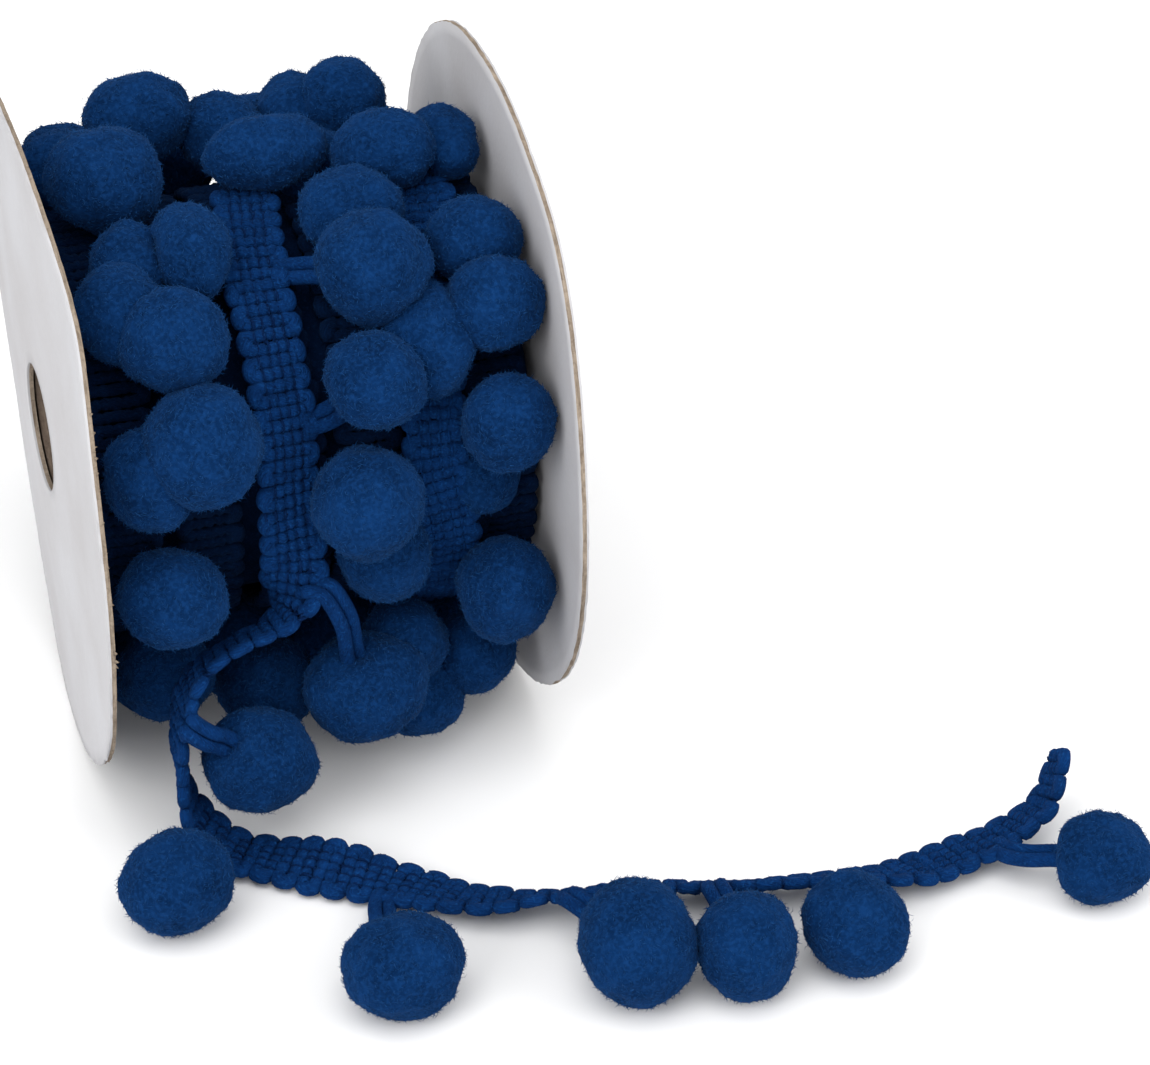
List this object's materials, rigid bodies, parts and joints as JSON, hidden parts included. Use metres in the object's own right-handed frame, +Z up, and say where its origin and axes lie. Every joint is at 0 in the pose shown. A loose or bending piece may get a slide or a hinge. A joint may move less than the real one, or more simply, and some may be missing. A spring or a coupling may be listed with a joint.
{
  "type": "pompom fringe trim on a card reel",
  "caption": "Woven heading tape with looped-on wool-look pompoms, wound on a card reel with two disc flanges, its loose end lying curved in front",
  "frame": {"origin": "on the floor, at the middle of the whole model's footprint", "axes": "+Z up, X along the reel's axis from the left card to the right one, -Y to the front where the loose end lies"},
  "size_m": [0.1254, 0.1304, 0.0869],
  "materials": {
    "card": "grey-white faced card with a rough kraft edge",
    "kraft": "raw kraft card",
    "blue_yarn": "thick matt woven yarn",
    "blue_felt": "short felted pile, matt"
  },
  "bodies": {
    "root": {"flange_left": "card", "flange_right": "card", "core_tube": "kraft", "wound_trim": "blue_yarn", "heading_tape": "blue_yarn", "pompom_01": "blue_felt", "pompom_02": "blue_felt", "pompom_03": "blue_felt", "pompom_04": "blue_felt", "pompom_05": "blue_felt", "pompom_06": "blue_felt", "pompom_07": "blue_felt", "pompom_08": "blue_felt", "pompom_09": "blue_felt", "pompom_10": "blue_felt"}
  },
  "joints": []
}
